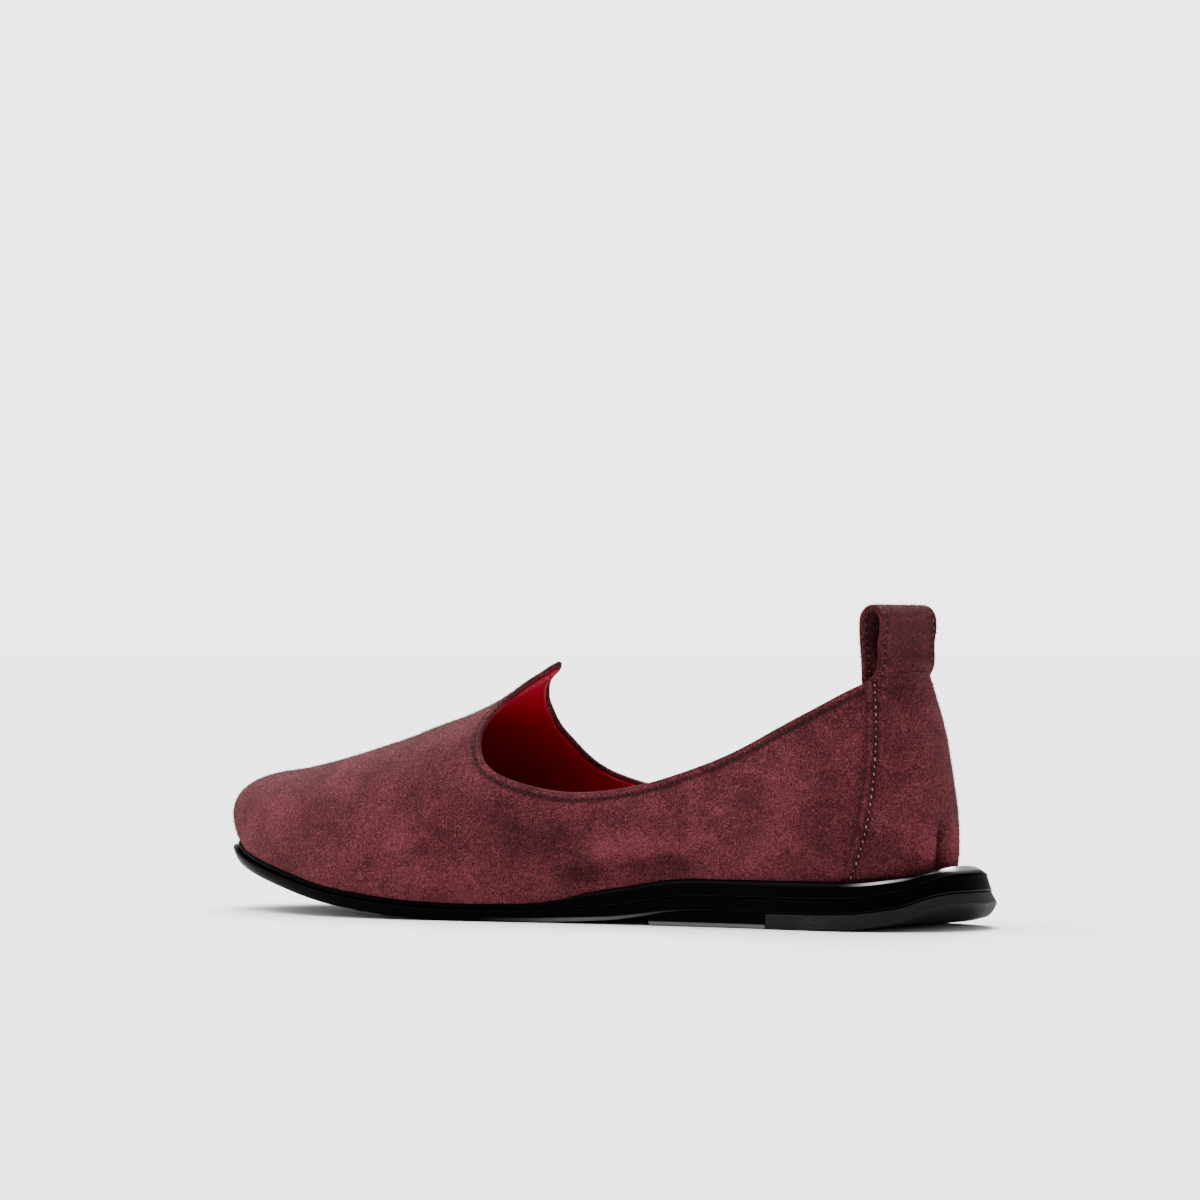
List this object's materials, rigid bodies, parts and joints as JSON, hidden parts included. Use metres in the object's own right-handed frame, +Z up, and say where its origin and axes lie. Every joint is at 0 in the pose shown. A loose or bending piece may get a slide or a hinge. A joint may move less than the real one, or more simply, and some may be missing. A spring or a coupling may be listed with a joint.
{
  "type": "slipper loafer",
  "caption": "Low slip-on loafer in maroon suede with a pointed tongue, a heel pull loop, a red lining and a flat stacked leather sole.",
  "frame": {"origin": "on the ground, under the middle of the outsole", "axes": "+Z up from the ground, toe along -Y, heel along +Y, outer side of the left foot along +X"},
  "size_m": [0.0989, 0.2921, 0.1003],
  "materials": {
    "suede": "napped suede",
    "lining": "smooth lining leather",
    "sole_leather": "polished sole edge",
    "heel_rubber": "matte"
  },
  "bodies": {
    "root": {"upper": "suede", "back_stay": "suede", "pull_loop": "suede", "insole": "lining", "midsole_wedge": "sole_leather", "outsole": "sole_leather", "heel_lift": "sole_leather", "top_piece": "heel_rubber"}
  },
  "joints": []
}
